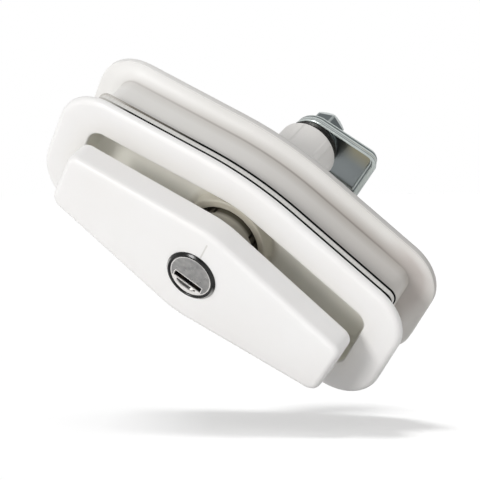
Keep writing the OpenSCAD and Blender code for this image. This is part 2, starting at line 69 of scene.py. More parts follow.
COVE_END = -NECK_LEN - COVE_DEEP
BACK = COVE_END - RIM
FOOT_R, FOOT_Z = 12.3, BACK - 2.6
BARREL_R, BARREL_BORE, BARREL_Z = 10.1, 9.0, -52.8
RIB_WIDE, RIB_PROUD, RIB_ANGLE = 2.6, 0.35, 58.0
FACE = FRONT + 14.8
TAIL = FACE - 8.7
UNDER = FACE - 2.4
HANDLE_WALL, HANDLE_ROUND = 2.0, 2.0
REST_TURN = 1.55
RING_R, RING_PROUD, PLUG_R = 8.4, 1.0, 6.9
SLOT_HALF, SLOT_HIGH, SLOT_DROP = 4.875, 1.05, 2.65
PLUG_FACE = FACE + RING_PROUD - 0.5
HOUSING_R = 8.2
SLEEVE_R, SLEEVE_Z, SLEEVE_TOP = 8.9, -58.6, -44.6
CAM_R, CAM_TOP, CAM_REACH, CAM_LOW, CAM_CORNER = 8.6, 9.4, 21.8, 9.6, 3.6
CAM_THICK, CAM_BORDER = 2.0, 1.6
CAM_BACK = SLEEVE_Z - CAM_THICK
FOOT_LEN = CAM_BORDER + 0.1
WASHER, WASHER_R, SPLIT, NUT_H, NUT_FLATS = 1.1, 6.4, 1.0, 5.6, 10.0
STUD_R, STUD_Z = 3.0, -70.9

# ---------------------------------------------------------------- camera, colours and nodes

# The camera that was fitted to the photograph: its place and its turn in the part's frame.
CAMERA_MM = (84.61, -398.12, 424.08)
CAMERA_TURN = Matrix((
    (0.812047, -0.567209, 0.137306),
    (0.493608, 0.542040, -0.680106),
    (0.311337, 0.620054, 0.720140),
))
LENS, SENSOR = 144.04, 36.0
CLIP = (0.01, 20)

camera_data = bpy.data.cameras.new("camera")
camera_data.lens = LENS
camera_data.sensor_width = SENSOR
camera_data.clip_start, camera_data.clip_end = CLIP
camera = bpy.data.objects.new("camera", camera_data)
camera.matrix_world = Matrix.Translation(Vector(CAMERA_MM) * MM) @ CAMERA_TURN.to_4x4()
bpy.context.scene.collection.objects.link(camera)
bpy.context.scene.camera = camera
bpy.context.scene.view_settings.view_transform = "Standard"


def linear(hex_colour):
    """An sRGB hex colour as linear red, green, blue and alpha."""
    c = np.array([int(hex_colour[i:i + 2], 16) / 255 for i in (1, 3, 5)])
    c = np.where(c <= 0.04045, c / 12.92, ((c + 0.055) / 1.055) ** 2.4)
    return (*c.tolist(), 1.0)


def add(tree, kind, links=None, **settings):
    """Adds a node, sets its properties or its inputs' values by name, and links its inputs."""
    node = tree.nodes.new(kind)
    for name, value in settings.items():
        if hasattr(node, name):
            setattr(node, name, value)
        else:
            node.inputs[name.replace("_", " ")].default_value = value
    for name, source in (links or {}).items():
        tree.links.new(source, node.inputs[name])
    return node


# ---------------------------------------------------------------- shapes


def turn(points, degrees):
    """Points turned about the spindle axis, seen from the front, clockwise for positive degrees."""
    a = math.radians(degrees)
    x, y, z = points[..., 0], points[..., 1], points[..., 2]
    return np.stack([x * math.cos(a) + y * math.sin(a), y * math.cos(a) - x * math.sin(a), z], -1)


def place(points, turned):
    """From the drawing frame (x, y up, z out to the user) in mm to the part's frame in metres."""
    p = turn(points, REST_TURN) if turned else points
    return np.stack([p[..., 0], -p[..., 2], p[..., 1]], -1) * MM


def build(name, vertices, faces, body, turned=False, sharp=32, replaces=()):
    """Makes the mesh, turns its faces outwards by the sign of its volume, and lets it ride.

    Edges sharper than sharp degrees stay crisp, and the piece stands in for the nodes it replaces.
    """
    v = place(np.asarray(vertices, float).reshape(-1, 3), turned)
    fans = [(f[0], f[i], f[i + 1]) for f in faces if len(f) > 4 for i in range(1, len(f) - 1)]
    quads = np.array([f for f in faces if len(f) == 4], int).reshape(-1, 4)
    three = np.array([f for f in faces if len(f) == 3], int).reshape(-1, 3)
    fans = np.array(fans, int).reshape(-1, 3)
    every = np.vstack([quads[:, [0, 1, 2]], quads[:, [0, 2, 3]], three, fans])
    volume = np.einsum("ij,ij->i", v[every[:, 0]], np.cross(v[every[:, 1]], v[every[:, 2]])).sum()
    flip = volume < 0
    mesh = bpy.data.meshes.new(name)
    mesh.from_pydata(v.tolist(), [], [list(f)[::-1] if flip else list(f) for f in faces])
    mesh.shade_smooth()
    mesh.set_sharp_from_angle(angle=math.radians(sharp))
    mesh.update()
    piece = bpy.data.objects.new(name, mesh)
    bpy.context.scene.collection.objects.link(piece)
    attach(piece, body)
    if replaces:
        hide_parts(*replaces)
    return piece


def ring_faces(count, around, closed):
    """Quads between rings of points; if closed, the last ring is joined to the first."""
    k = np.arange(count if closed else count - 1)[:, None]
    i = np.arange(around)[None, :]
    j = (i + 1) % around
    n = (k + 1) % count
    quads = np.stack([k * around + i, k * around + j, n * around + j, n * around + i], -1)
    return quads.reshape(-1, 4).tolist()


def rings(name, stations, body, closed=True, **how):
    """A surface through equal rings of points; open ends are closed by a flat face."""
    points = np.array(stations)
    count, around = points.shape[:2]
    faces = ring_faces(count, around, closed)
    if not closed:
        faces += [list(range(around))[::-1], list(range((count - 1) * around, count * around))]
    return build(name, points, faces, body, **how)


LEAST_RADIUS = 0.2


def grow(outline, d):
    """The six-sided outline moved out by d all round, as half length, heights and radii."""
    length, end, mid, end_r, mid_r = outline
    slope = (mid - end) / length
    high = mid + d * math.hypot(1, slope)
    radii = (max(LEAST_RADIUS, end_r + d), max(LEAST_RADIUS, mid_r + d))
    return (length + d, high - (length + d) * slope, high, *radii)


def shorter(outline, half, corner):
    """The outline cut shorter along its own sloping sides."""
    length, end, mid, _, mid_r = outline
    return (half, mid - half * (mid - end) / length, mid, corner, mid_r)


def mix(a, b, t):
    """An outline part of the way from a to b."""
    return tuple(p + (q - p) * t for p, q in zip(a, b))


ARC_POINTS, LINE_POINTS = 14, 8


def polygon_ring(corners, radii, z):
    """A polygon with rounded corners: an arc of each radius, then a straight run to the next."""
    c = np.array(corners, float)
    found = []
    for k in range(len(c)):
        a, b, d = c[k - 1], c[k], c[(k + 1) % len(c)]
        u, v = (a - b) / np.linalg.norm(a - b), (d - b) / np.linalg.norm(d - b)
        half = math.acos(max(-1, min(1, float(u @ v)))) / 2
        centre = b + (u + v) / np.linalg.norm(u + v) * radii[k] / math.sin(half)
        first = b + u * radii[k] / math.tan(half) - centre
        last = b + v * radii[k] / math.tan(half) - centre
        start = math.atan2(first[1], first[0])
        sweep = (math.atan2(last[1], last[0]) - start + math.pi) % (2 * math.pi) - math.pi
        t = start + sweep * np.linspace(0, 1, ARC_POINTS)
        found.append(centre + radii[k] * np.stack([np.cos(t), np.sin(t)], -1))
    flat = []
    for k in range(len(c)):
        a, b = found[k][-1], found[(k + 1) % len(c)][0]
        t = np.linspace(0, 1, LINE_POINTS + 2)[1:-1, None]
        flat += [found[k], a + (b - a) * t]
    flat = np.vstack(flat)
    return np.column_stack([flat, np.full(len(flat), z)])


def six(outline, d, z):
    """One ring of the six-sided outline, moved out by d, at height z."""
    length, end, mid, end_r, mid_r = grow(outline, d)
    corners = [(length, -end), (length, end), (0, mid), (-length, end), (-length, -end), (0, -mid)]
    return polygon_ring(corners, [end_r, end_r, mid_r, end_r, end_r, mid_r], z)


def round_ring(radius, z, like):
    """A circle whose points stand at the same angles as those of another ring."""
    a = np.arctan2(like[:, 1], like[:, 0])
    return np.column_stack([radius * np.cos(a), radius * np.sin(a), np.full(len(a), z)])


def between(a, b, steps):
    """Rings that run straight from ring a to ring b, without either."""
    return [a + (b - a) * t for t in np.linspace(0, 1, steps + 2)[1:-1]]


def quarter(steps, start=0, stop=90):
    """Angles in radians in equal steps, round a quarter unless start and stop say otherwise."""
    return [math.radians(a) for a in np.linspace(start, stop, steps + 1)]


def corner(d, z, wide, high, steps, from_side=True):
    """Pairs of distance and height round a quarter, from the side at d to the face at z, or back.

    Each is the corner moved by wide times one less the cosine, and by high times one less the sine.
    """
    side, face = (math.cos, math.sin) if from_side else (math.sin, math.cos)
    return [(d + wide * (1 - side(a)), z + high * (1 - face(a))) for a in quarter(steps)]


def lathe(name, profile, body, around=96, lobes=None, **how):
    """A profile of (radius, z) turned about the axis; lobes adds to it by angle, z and radius."""
    a = np.linspace(0, 2 * math.pi, around, endpoint=False)
    stations = []
    for radius, z in profile:
        r = radius + (lobes(a, z, radius) if lobes else 0 * a)
        stations.append(np.column_stack([r * np.cos(a), r * np.sin(a), np.full(around, z)]))
    return rings(name, stations, body, **how)


EASED_MOST = 0.45


def eased(points, r):
    """A closed (radius, z) profile with each corner cut back by r into a round of three points.

    The middle point is half the corner and a quarter of each cut.
    """
    p = np.array(points, float)
    out = []
    for k in range(len(p)):
        a, b, c = p[k - 1], p[k], p[(k + 1) % len(p)]
        u, v = a - b, c - b
        cut = min(r, EASED_MOST * np.linalg.norm(u), EASED_MOST * np.linalg.norm(v))
        s, e = b + u / np.linalg.norm(u) * cut, b + v / np.linalg.norm(v) * cut
        out += [s, 0.25 * s + 0.5 * b + 0.25 * e, e]
    return [tuple(q) for q in out]


# ---------------------------------------------------------------- bezel, seals and collar

FLANGE_EDGE, TUB_EDGE = 0.3, 1.0
BOSS_FILLET, BOSS_ROUND, BORE_ROUND = 0.8, 0.5, 0.4

tub = six(HANDLE, GAP + TUB_WALL, STACK)
flange_back = six(BEZEL, -FLANGE_EDGE, STACK)
front_ring = six(BEZEL, -EDGE_ROUND, FRONT)
mouth_ring = six(HANDLE, GAP + MOUTH_ROUND, FRONT)
floor_ring = six(HANDLE, GAP - FLOOR_ROUND, FLOOR)
boss_foot = round_ring(BOSS_R + BOSS_FILLET, FLOOR, floor_ring)
back_hole = round_ring(BOSS_BORE, TUB_BACK, floor_ring)
back_ring = six(HANDLE, GAP + TUB_WALL - TUB_EDGE, TUB_BACK)
bezel = rings("bezel_moulding", [
    tub,
    *between(tub, flange_back, 3),
    flange_back,
    six(BEZEL, 0, STACK + FLANGE_EDGE),
    *[six(BEZEL, *q) for q in corner(0, FRONT, -EDGE_ROUND, -EDGE_ROUND, 9)],
    *between(front_ring, mouth_ring, 8),
    *[six(HANDLE, *q) for q in corner(GAP, FRONT, MOUTH_ROUND, -MOUTH_ROUND, 5, from_side=False)],
    *[six(HANDLE, *q) for q in corner(GAP, FLOOR, -FLOOR_ROUND, FLOOR_ROUND, 6)],
    *between(floor_ring, boss_foot, 6),
    *[round_ring(*q, floor_ring) for q in (
        corner(BOSS_R, FLOOR, BOSS_FILLET, BOSS_FILLET, 4, from_side=False)
        + corner(BOSS_R, BOSS_FACE, -BOSS_ROUND, -BOSS_ROUND, 4)
        + corner(BOSS_BORE, BOSS_FACE, BORE_ROUND, -BORE_ROUND, 3, from_side=False))],
    back_hole,
    *between(back_hole, back_ring, 3),
    back_ring,
    six(HANDLE, GAP + TUB_WALL, TUB_BACK + TUB_EDGE),
], "fixed", replaces=("front_bezel",))


NECK = shorter(grow(BEZEL, -NECK_INSET), NECK_HALF, NECK_CORNER)
SEALS = shorter(grow(BEZEL, -SEAL_INSET), SEAL_HALF, SEAL_CORNER)


def gasket(name, outline, low, high, bulge, node):
    """A flat ring between two planes whose outer edge swells by bulge."""
    mid, half = (low + high) / 2, (high - low) / 2
    edge = [six(outline, -bulge * (1 - math.sin(a)), mid - half * math.cos(a))
            for a in quarter(8, 0, 180)]
    inner = [six(NECK, -NECK_WALL, low), six(NECK, -NECK_WALL, high)]
    return rings(name, [inner[0], *edge, inner[1]], "fixed", replaces=(node,))


# The seals swell a little over the band between them, and so hold it.
SWELL, FRONT_SWELL = 0.03, 0.5
SEAL_BULGE, BAND_BULGE = 0.12, 0.1
BAND_TOP = STACK - SEAL - FRONT_SWELL
face_seal = gasket("face_seal_ring", SEALS, BAND_TOP, STACK, SEAL_BULGE, "face_seal")
spacer = gasket("spacer_band_ring", grow(SEALS, -BAND_INSET), SEAL + SWELL, BAND_TOP, BAND_BULGE,
                "spacer_band")
panel_seal = gasket("panel_seal_ring", SEALS, 0, SEAL + SWELL, SEAL_BULGE, "panel_seal")


def cove(degrees):
    """One ring of the cove: down by the sine and out by the cosine of its slope."""
    a, first, last = (math.radians(v) for v in (degrees, COVE_FROM, COVE_TO))
    down = (math.sin(a) - math.sin(first)) / (math.sin(last) - math.sin(first))
    wide = (math.cos(first) - math.cos(a)) / (math.cos(first) - math.cos(last))
    return six(mix(NECK, BEZEL, wide), 0, -NECK_LEN - COVE_DEEP * down)


# The neck turns out into the cove: how far above, below and outwards, and up to which angle.
TURN_ABOVE, TURN_BELOW, TURN_OUT, TURN_ANGLE = 0.4, 0.6, 0.3, 40
COVE_FIRST, COVE_LAST, COVE_RINGS = COVE_FROM + 4, COVE_TO - 2, 14
RIM_FRONT_ROUND, RIM_BACK_ROUND, FOOT_FILLET, FOOT_ROUND = 0.3, 0.5, 0.5, 0.4
BORE_PLAY = 0.1
PLATE_FRONT = COVE_END + 0.1

neck_top = six(NECK, 0, 0)
plate_inner = six(NECK, -NECK_WALL, PLATE_FRONT)
rim_back = six(BEZEL, -RIM_BACK_ROUND, BACK)
foot_ring = round_ring(FOOT_R + FOOT_FILLET, BACK, rim_back)
collar_bore = round_ring(BARREL_R + BORE_PLAY, PLATE_FRONT, rim_back)
collar = rings("collar_moulding", [
    six(NECK, -NECK_WALL, 0),
    neck_top,
    *between(neck_top, six(NECK, 0, -NECK_LEN + TURN_ABOVE), 3),
    *[six(NECK, TURN_OUT * (1 - math.cos(a)), -NECK_LEN + TURN_ABOVE - TURN_BELOW * math.sin(a))
      for a in quarter(3, 0, TURN_ANGLE)],
    *[cove(d) for d in np.linspace(COVE_FIRST, COVE_LAST, COVE_RINGS)],
    *[six(BEZEL, *q) for q in (
        corner(0, COVE_END, -RIM_FRONT_ROUND, -RIM_FRONT_ROUND, 4, from_side=False)
        + corner(0, BACK, -RIM_BACK_ROUND, RIM_BACK_ROUND, 4))],
    *between(rim_back, foot_ring, 8),
    *[round_ring(*q, rim_back) for q in (
        corner(FOOT_R, BACK, FOOT_FILLET, -FOOT_FILLET, 3, from_side=False)
        + corner(FOOT_R, FOOT_Z, -FOOT_ROUND, FOOT_ROUND, 3))],
    round_ring(BARREL_R + BORE_PLAY, FOOT_Z, rim_back),
    collar_bore,
    *between(collar_bore, plate_inner, 3),
    plate_inner,
], "fixed", replaces=("rear_collar",))

# ---------------------------------------------------------------- barrel

# The ribs blend into the barrel over a third of a millimetre and stop short of its end.
RIB_BLEND = 0.34
RIB_STOP, RIB_GONE = 1.6, 1.1
BARREL_ROUND, BARREL_BREAK = 0.5, 0.3


def rib_lobes(a, z, radius):
    """Four flat-topped ribs along the barrel, each with its centre at a fixed angle."""
    if radius < BARREL_R or z < BARREL_Z + RIB_STOP:
        return 0 * a
    total = 0 * a
    for centre in (RIB_ANGLE, 180 - RIB_ANGLE, -RIB_ANGLE, RIB_ANGLE - 180):
        off = np.abs((a - math.radians(centre) + math.pi) % (2 * math.pi) - math.pi) * BARREL_R
        total = total + RIB_PROUD * np.clip((RIB_WIDE / 2 + RIB_BLEND / 2 - off) / RIB_BLEND, 0, 1)
    return total


barrel = lathe("barrel_casting", [
    (BARREL_BORE, BACK),
    (BARREL_R, BACK),
    (BARREL_R, BARREL_Z + RIB_STOP),
    (BARREL_R, BARREL_Z + RIB_GONE),
    *corner(BARREL_R, BARREL_Z, -BARREL_ROUND, BARREL_ROUND, 4),
    (BARREL_BORE + BARREL_BREAK, BARREL_Z),
    (BARREL_BORE, BARREL_Z + BARREL_BREAK),
], "fixed", around=360, lobes=rib_lobes, replaces=("barrel",))

# ---------------------------------------------------------------- handle

TAIL_BREAK, TAIL_ROUND, UNDER_FILLET, HOUSING_PLAY = 0.3, 0.4, 0.8, 0.1
LOCK_HOLE_R = HOUSING_R + HOUSING_PLAY

handle_face = six(HANDLE, -HANDLE_ROUND, FACE)
lock_hole = round_ring(LOCK_HOLE_R, FACE, handle_face)
under_hole = round_ring(LOCK_HOLE_R, UNDER, handle_face)
under_ring = six(HANDLE, -HANDLE_WALL - UNDER_FILLET, UNDER)
handle = rings("handle_moulding", [
    six(HANDLE, -HANDLE_WALL, TAIL + TAIL_BREAK),
    six(HANDLE, -HANDLE_WALL + TAIL_BREAK, TAIL),
    *[six(HANDLE, *q) for q in (
        corner(0, TAIL, -TAIL_ROUND, TAIL_ROUND, 4, from_side=False)
        + corner(0, FACE, -HANDLE_ROUND, -HANDLE_ROUND, 9))],
    *between(handle_face, lock_hole, 10),
    lock_hole,
    under_hole,
    *between(under_hole, under_ring, 4),
    under_ring,
    six(HANDLE, -HANDLE_WALL, UNDER - UNDER_FILLET),
], "handle", turned=True, replaces=("handle_shell",))


# Two ribs stiffen the hollow handle, sunk a little into its inner faces.
INNER_RIB_X, INNER_RIB_HALF, INNER_RIB_SIDE = 32.0, 0.8, 12.2
INNER_RIB_DEEP, INNER_RIB_SUNK, INNER_RIB_EASE = 2.6, 0.2, 0.2


def inner_rib(name, middle):
    """A block across the handle's hollow whose edges are eased by a bevel."""
    low = np.array([middle - INNER_RIB_HALF, -INNER_RIB_SIDE, UNDER - INNER_RIB_DEEP])
    high = np.array([middle + INNER_RIB_HALF, INNER_RIB_SIDE, UNDER + INNER_RIB_SUNK])
    unit = np.array([[x, y, z] for x in (0, 1) for y in (0, 1) for z in (0, 1)])
    faces = [[0, 1, 3, 2], [4, 6, 7, 5], [0, 4, 5, 1], [2, 3, 7, 6], [0, 2, 6, 4], [1, 5, 7, 3]]
    piece = build(name, unit * (high - low) + low, faces, "handle", turned=True)
    bevel = piece.modifiers.new("eased edges", "BEVEL")
    bevel.width, bevel.segments = INNER_RIB_EASE * MM, 2
    return piece


rib_right = inner_rib("handle_rib_right", INNER_RIB_X)
rib_left = inner_rib("handle_rib_left", -INNER_RIB_X)

# ---------------------------------------------------------------- lock face

RING_HOLE, RING_EASE = PLUG_R + 0.08, 0.15
BEVEL_IN, BEVEL_FOOT = 0.8, 0.25
MOUTH_WIDE, MOUTH_DEEP = 0.32, 0.3
ring = lathe("face_ring", eased([
    (RING_HOLE, FACE), (RING_R, FACE), (RING_R, FACE + BEVEL_FOOT),
    (RING_R - BEVEL_IN, FACE + RING_PROUD), (RING_HOLE + MOUTH_WIDE, FACE + RING_PROUD),
    (RING_HOLE, FACE + RING_PROUD - MOUTH_DEEP),
], RING_EASE), "handle", around=144, turned=True, replaces=("lock_ring",))

# A small break on the plug's edges, which catches the light round the rim and the slot.
plug_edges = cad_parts["lock_plug"].modifiers.new("broken edges", "BEVEL")
PLUG_BREAK, PLUG_BREAK_ANGLE = 0.22, 40
plug_edges.width, plug_edges.segments = PLUG_BREAK * MM, 2
plug_edges.limit_method, plug_edges.angle_limit = "ANGLE", math.radians(PLUG_BREAK_ANGLE)

# ---------------------------------------------------------------- draw sleeve, cam, washers, nut

# A thread's flank slope and the flat on its root; the end of a solid thread is a small cone.
FLANK, ROOT_FLAT = 2.6, 0.15
AXIS_R, TIP_CONE = 0.05, 0.5
HELIX_SHARP = 60


def thread(name, radius, low, high, pitch, depth, tip, body, inner=0.0, around=72, per_turn=14,
           **how):
    """A helical surface: its radius falls by depth as a triangle wave of z over pitch less turn.

    It runs out over tip at both ends. With an inner radius it is a sleeve, else a solid rod.
    """
    count = int((high - low) / pitch * per_turn) + 1
    z = np.linspace(high, low, count)[:, None]
    a = np.linspace(0, 2 * math.pi, around, endpoint=False)[None, :]
    phase = (z / pitch - a / (2 * math.pi)) % 1.0
    wave = np.clip(np.abs(phase - 0.5) * FLANK - ROOT_FLAT, 0, 1)
    ends = np.clip(np.minimum(high - z, z - low) / tip, 0, 1)
    r = radius - depth * (1 - (1 - wave) * ends)
    stations = list(np.stack([r * np.cos(a), r * np.sin(a), z + 0 * a], -1))
    first, last = stations[0], stations[-1]
    if inner:
        stations = [round_ring(inner, high, first), *stations, round_ring(inner, low, last)]
        return rings(name, stations, body, sharp=HELIX_SHARP, **how)
    end = low - TIP_CONE
    stations = [round_ring(AXIS_R, high, first), *stations,
                round_ring(radius - depth - TIP_CONE, end, last), round_ring(AXIS_R, end, last)]
    return rings(name, stations, body, closed=False, sharp=HELIX_SHARP, **how)


TURN_STEPS, WIRE_STEPS = 40, 10


def coil(name, radius, wire, back, front, turns, body, **how):
    """A round wire wound on a helix: its centre line climbs by the same step in every turn."""
    t = np.linspace(0, 1, turns * TURN_STEPS + 1)[:, None]
    a = t * turns * 2 * math.pi
    b = np.linspace(0, 2 * math.pi, WIRE_STEPS, endpoint=False)[None, :]
    r = radius + wire * np.cos(b)
    z = front - wire - (front - back - 2 * wire) * t + wire * np.sin(b)
    points = np.stack([r * np.cos(a), r * np.sin(a), z], -1)
    return rings(name, points, body, closed=False, sharp=HELIX_SHARP, **how)


# The pop-out spring, wound where its plain sleeve is, shortens as the handle is pressed in.
low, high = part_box("pop_out_spring")
WIRE_R, WIRE_PLAY, COIL_TURNS, PRESS = 0.3, 0.02, 9, 5.8
SPRING_FRONT, SPRING_BACK = -low[1] / MM, -high[1] / MM
spring = coil("pop_out_coil", high[0] / MM - WIRE_R - WIRE_PLAY, WIRE_R, SPRING_BACK, SPRING_FRONT,
              COIL_TURNS, "fixed", replaces=("pop_out_spring",))
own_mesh(spring)

# Pitch, depth and run-out of the sleeve's thread, and of the stud's.
SLEEVE_THREAD, STUD_THREAD = (1.5, 0.75, 0.6), (1.0, 0.5, 0.5)
SLEEVE_BORE, FOOT_BORE, SLEEVE_FOOT_R = 4.6, 5.0, 7.4
FOOT_TOP, EDGE_EASE, STUD_SUNK = SLEEVE_Z + FOOT_LEN + 0.1, 0.2, 0.6
sleeve = thread("draw_sleeve_thread", SLEEVE_R, SLEEVE_Z + FOOT_LEN, SLEEVE_TOP, *SLEEVE_THREAD,
                "cam", inner=SLEEVE_BORE, around=120, per_turn=12, turned=True)
sleeve_foot = lathe("draw_sleeve_foot", eased([
    (FOOT_BORE, SLEEVE_Z), (SLEEVE_FOOT_R, SLEEVE_Z),
    (SLEEVE_FOOT_R, FOOT_TOP), (FOOT_BORE, FOOT_TOP),
], EDGE_EASE), "cam", turned=True)
stud = thread("cam_stud", STUD_R, STUD_Z + TIP_CONE, CAM_BACK + STUD_SUNK, *STUD_THREAD, "cam",
              turned=True, replaces=("draw_sleeve",))


# The angles between which the cam's end is round, its smallest corner, and where its foot runs.
HEEL_FROM, HEEL_TO = 100, 252
CORNER_LEAST, TIP_SLANT, SOLE_FROM = 0.3, 0.6, 0.55


def cam_ring(z, in_round, in_reach, in_low):
    """The cam's outline drawn in: round end on the axis, straight arm, rounded outer corner."""
    r, top = CAM_R - in_round, CAM_TOP - in_round
    right, foot = CAM_REACH - in_reach, CAM_LOW - in_low
    t = np.radians(np.linspace(HEEL_FROM, HEEL_TO, 48))
    heel = np.column_stack([r * np.cos(t), r * np.sin(t)])
    c = max(CORNER_LEAST, CAM_CORNER - in_round)
    e = np.radians(np.linspace(0, 90, 14))
    shoulder = np.column_stack([right - c + c * np.cos(e), top - c + c * np.sin(e)])
    tip = np.array([[right - TIP_SLANT, -foot]])
    sole = np.array([[SOLE_FROM * r, -foot]])

    def run(a, b, n):
        s = np.linspace(0, 1, n + 2)[1:-1, None]
        return a + (b - a) * s

    flat = np.vstack([
        heel, run(heel[-1], sole[0], 4), sole, run(sole[0], tip[0], 12), tip,
        run(tip[0], shoulder[0], 10), shoulder, run(shoulder[-1], heel[0], 14)])
    return np.column_stack([flat, np.full(len(flat), z)])


WEB = SLEEVE_Z
LIP = SLEEVE_Z + CAM_BORDER
CAM_HOLE_R = 5.2
# The border's section from the web over the step and the lip to the back: height, and how far
# the outline is drawn in at the round end, at the arm's end and at the foot.
CAM_SECTION = (
    (WEB, 1.0, 3.0, 2.2),
    (WEB + 0.12, 0.95, 2.8, 2.0),
    (WEB + 0.55, 0.90, 2.5, 1.7),
    (WEB + 0.62, 0.82, 2.2, 1.5),
    (LIP - 0.45, 0.78, 1.5, 1.2),
    (LIP - 0.15, 0.72, 1.2, 0.95),
    (LIP, 0.55, 0.9, 0.65),
    (LIP, 0.25, 0.3, 0.25),
    (LIP - 0.25, 0.0, 0.0, 0.0),
    (LIP - 0.7, 0.0, 0.0, 0.0),
    (LIP - 0.8, 0.12, 0.15, 0.12),
    (CAM_BACK + 0.3, 0.2, 1.05, 0.95),
    (CAM_BACK, 0.3, 1.3, 1.2),
)
cam_border = [cam_ring(*row) for row in CAM_SECTION]
cam_floor, cam_rear = cam_border[0], cam_border[-1]
hole_like = cam_ring(WEB, 3.0, 3.0, 3.0)
cam_hole = round_ring(CAM_HOLE_R, WEB, hole_like)
rear_hole = round_ring(CAM_HOLE_R, CAM_BACK, hole_like)
cam = rings("cam_pressing", [
    cam_hole,
    *between(cam_hole, cam_floor, 4),
    *cam_border,
    *between(cam_rear, rear_hole, 4),
    rear_hole,
], "cam", turned=True, sharp=28, replaces=("cam_plate",))

WASHER_HOLE, WASHER_BACK = STUD_R + 0.1, CAM_BACK - WASHER
washer = lathe("flat_washer", eased([
    (WASHER_HOLE, WASHER_BACK), (WASHER_R, WASHER_BACK),
    (WASHER_R, CAM_BACK), (WASHER_HOLE, CAM_BACK),
], EDGE_EASE), "cam", around=120, turned=True, replaces=("cam_washer",))

NUT_TOP = CAM_BACK - WASHER - SPLIT
NUT_LOW = NUT_TOP - NUT_H
FLAT_R = NUT_FLATS / 2
CORNER_R = FLAT_R / math.cos(math.pi / 6)
NUT_FACE_R = FLAT_R - 0.25
# The nut's end from its hole over the face and the chamfer: radius and depth below the face.
NUT_END = ((STUD_R + 0.05, 0.4), (STUD_R + 0.5, 0), (NUT_FACE_R, 0), (FLAT_R, 0.12),
           (FLAT_R + 0.25, 0.25), (FLAT_R + 0.5, 0.42), (CORNER_R, 0.62))


def hexagon(a, z, radius):
    """Adds what turns a circle into a hexagon at any z, outside the round face of the nut."""
    if radius < NUT_FACE_R:
        return 0 * a
    across = (a + math.pi / 6) % (math.pi / 3) - math.pi / 6
    return np.minimum(FLAT_R / np.cos(across), radius) - radius


nut = lathe("hexagon_nut", [
    *[(r, NUT_LOW + h) for r, h in NUT_END], *[(r, NUT_TOP - h) for r, h in NUT_END[::-1]]],
    "cam", around=144, lobes=hexagon, turned=True, sharp=18, replaces=("cam_nut",))

# ---------------------------------------------------------------- materials

# The moulds' spark grain, how far it changes the roughness, and the slow drift of the colour.
SPARK_MM, SPARK_HIGH = 0.35, 0.006
SMOOTHER, ROUGHER = 0.06, 0.08
DRIFT_MM = 28
# The share of open sky at which a crease takes all its painted shade, and at which it has none.
SHUT, OPEN = 0.3, 0.95
# A wave texture runs through 2 pi in a twentieth of its unit.
WAVE_UNITS = 20
# How wide the edges of a band fade, in mm.
BAND_SOFT = 0.08
# The colour sockets of a Mix node.
MIX_A, MIX_B, MIX_RESULT = 6, 7, 2


def material(name, colour, roughness, metallic=0.0):
    """A plain shader, with its tree and coordinates, to which the pattern nodes below are added."""
    m = bpy.data.materials.new(name)
    m.use_nodes = True
    tree = m.node_tree
    shader = tree.nodes["Principled BSDF"]
    shader.inputs["Base Color"].default_value = linear(colour)
    shader.inputs["Roughness"].default_value = roughness
    shader.inputs["Metallic"].default_value = metallic
    return m, tree, shader, add(tree, "ShaderNodeTexCoord").outputs["Object"]


def grain(tree, where, size_mm, detail=3.0):
    """Noise whose features are about size_mm across."""
    noise = add(tree, "ShaderNodeTexNoise", {"Vector": where}, Scale=1 / (size_mm * MM),
                Detail=detail)
    return noise.outputs["Fac"]


def waves(tree, where, pitch_mm, **how):
    """Waves pitch_mm apart."""
    scale = 1 / (pitch_mm * MM * WAVE_UNITS) * 2 * math.pi
    return add(tree, "ShaderNodeTexWave", {"Vector": where}, Scale=scale, **how).outputs["Fac"]


def tint(tree, shader, source, first, second, low=0.3, high=0.7):
    """Colours the shader between two hex colours by a value."""
    ramp = add(tree, "ShaderNodeValToRGB", {"Fac": source})
    for element, position, colour in zip(ramp.color_ramp.elements, (low, high), (first, second)):
        element.position, element.color = position, linear(colour)
    tree.links.new(ramp.outputs["Color"], shader.inputs["Base Color"])


def carry(tree, value, low, high, first, last, **how):
    """A value from low to high carried over to the range from first to last, and held to it."""
    node = add(tree, "ShaderNodeMapRange", {"Value": value}, From_Min=low, From_Max=high,
               To_Min=first, To_Max=last, **how)
    return node.outputs["Result"]


def rough(tree, shader, source, low, high):
    """Roughness between two values by a value from 0 to 1."""
    tree.links.new(carry(tree, source, 0, 1, low, high), shader.inputs["Roughness"])


def bump(tree, shader, source, height_mm):
    """Surface relief of the given height."""
    node = add(tree, "ShaderNodeBump", {"Height": source}, Strength=1.0, Distance=height_mm * MM)
    tree.links.new(node.outputs["Normal"], shader.inputs["Normal"])


def maths(tree, operation, *values):
    """One step of arithmetic on values that are numbers or what other nodes give."""
    node = add(tree, "ShaderNodeMath", operation=operation)
    for socket, value in zip(node.inputs, values):
        if isinstance(value, bpy.types.NodeSocket):
            tree.links.new(value, socket)
        else:
            socket.default_value = value
    return node.outputs[0]


def times(tree, *values):
    """The product of some values."""
    return reduce(lambda a, b: maths(tree, "MULTIPLY", a, b), values)


def most(tree, *values):
    """The largest of some values."""
    return reduce(lambda a, b: maths(tree, "MAXIMUM", a, b), values)


def along(tree, where, direction):
    """How far coordinates lie along a direction: their dot product."""
    node = add(tree, "ShaderNodeVectorMath", {0: where}, operation="DOT_PRODUCT")
    node.inputs[1].default_value = direction
    return node.outputs["Value"]


